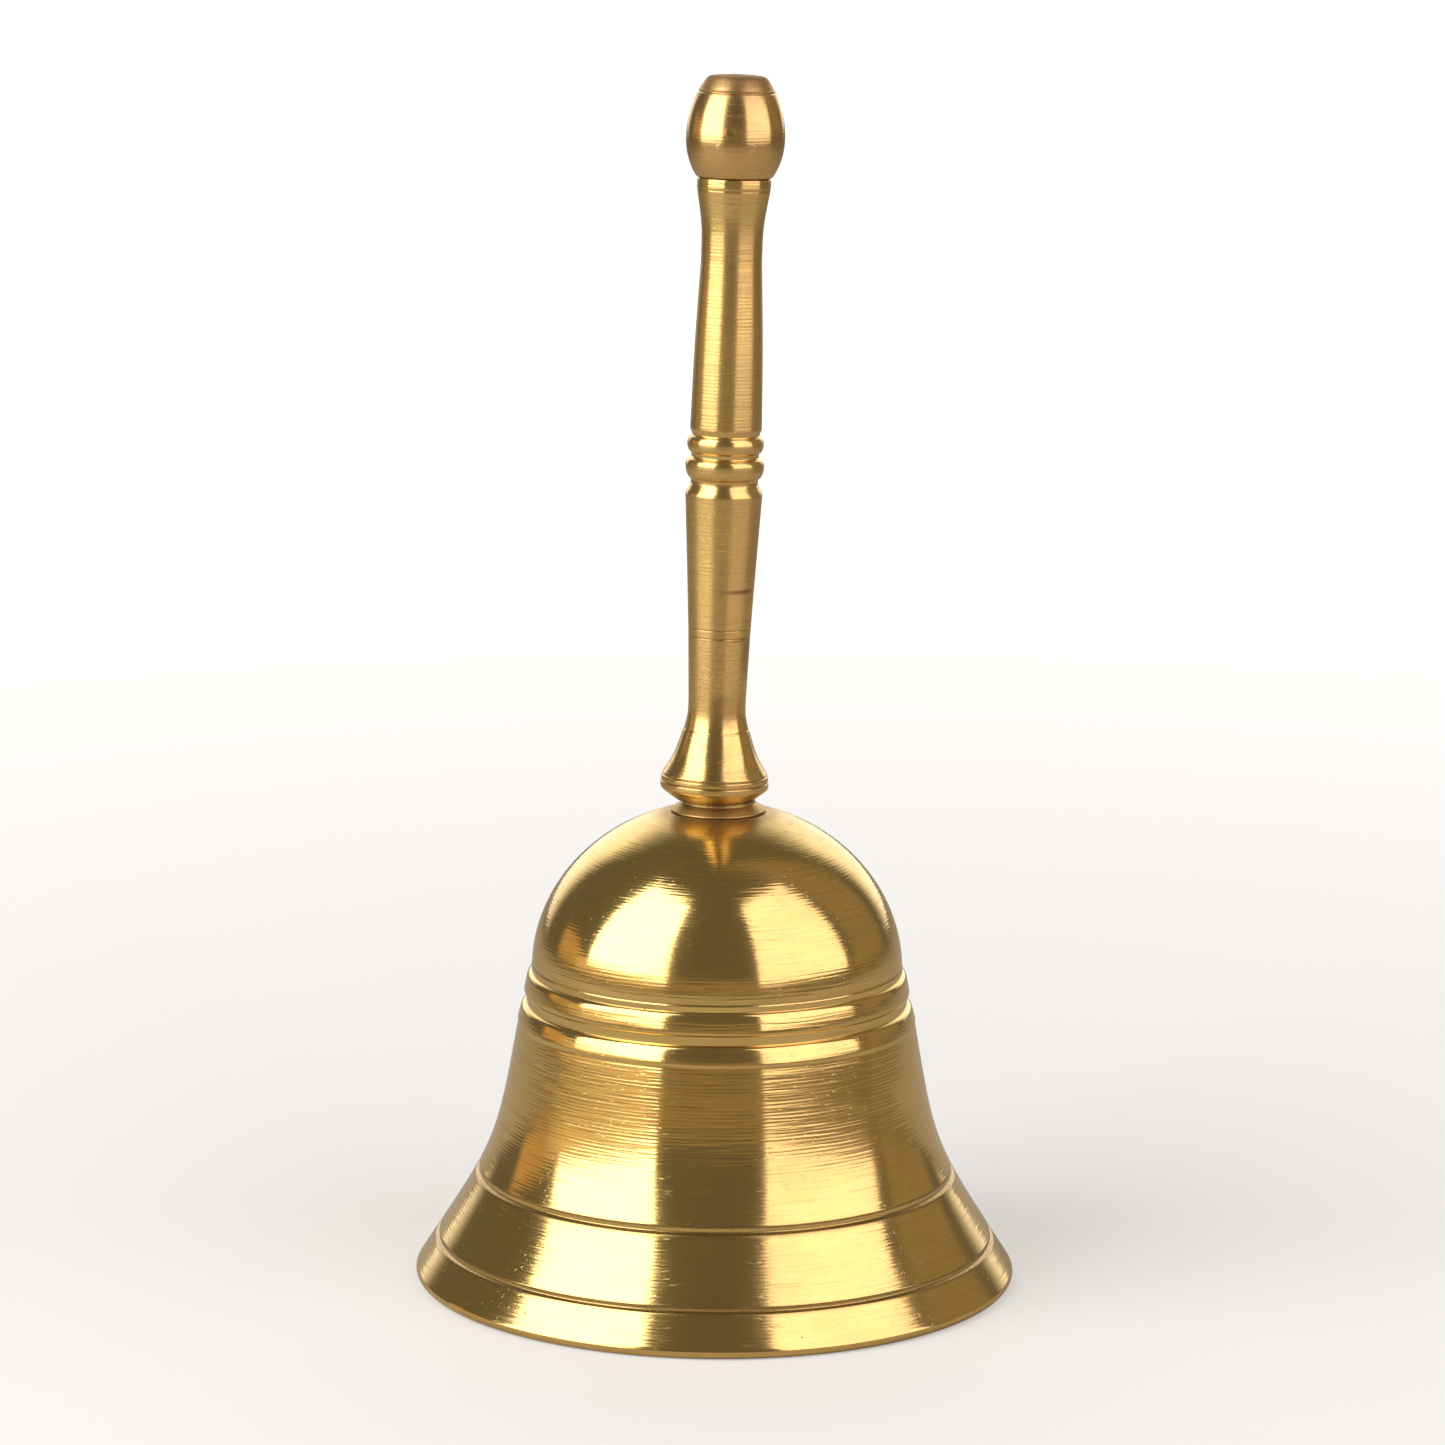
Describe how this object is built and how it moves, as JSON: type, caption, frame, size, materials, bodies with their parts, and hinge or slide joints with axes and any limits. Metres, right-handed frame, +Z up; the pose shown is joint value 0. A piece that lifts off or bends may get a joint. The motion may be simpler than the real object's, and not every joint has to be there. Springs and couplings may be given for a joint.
{
  "type": "hand bell",
  "caption": "Brass puja hand bell with a flared cup, ringed waist, slim turned handle with an egg-shaped knob, and a ball clapper hung inside on a wire link.",
  "frame": {"origin": "centre of the bell's mouth, in the plane of the rim that it stands on", "axes": "+Z up the bell's axis to the knob, +X the way the handle leans and the plane that the clapper swings in"},
  "size_m": [0.065, 0.065, 0.1297],
  "materials": {
    "polished_brass": "turned and polished, slightly aged",
    "worn_brass": "as turned, dull",
    "plated_steel": "dull zinc plate"
  },
  "bodies": {
    "bell": {"bell_body": "polished_brass", "crown_collar": "polished_brass", "handle": "polished_brass", "knob": "polished_brass", "hanger_bolt": "worn_brass", "inner_washer": "plated_steel", "hanger_nut": "plated_steel"},
    "link": {"link": "plated_steel"},
    "clapper": {"clapper_rod": "plated_steel", "clapper_ball": "worn_brass"}
  },
  "joints": [
    {"name": "link_swing", "type": "hinge", "parent": "bell", "child": "link", "pos_m": [0, 0, 0.04063], "axis": [0, 1, 0], "range_deg": [-31.8, 31.8]},
    {"name": "clapper_rock", "type": "hinge", "parent": "link", "child": "clapper", "pos_m": [0, 0, 0.03413], "axis": [1, 0, 0], "range_deg": [-7, 7]}
  ]
}
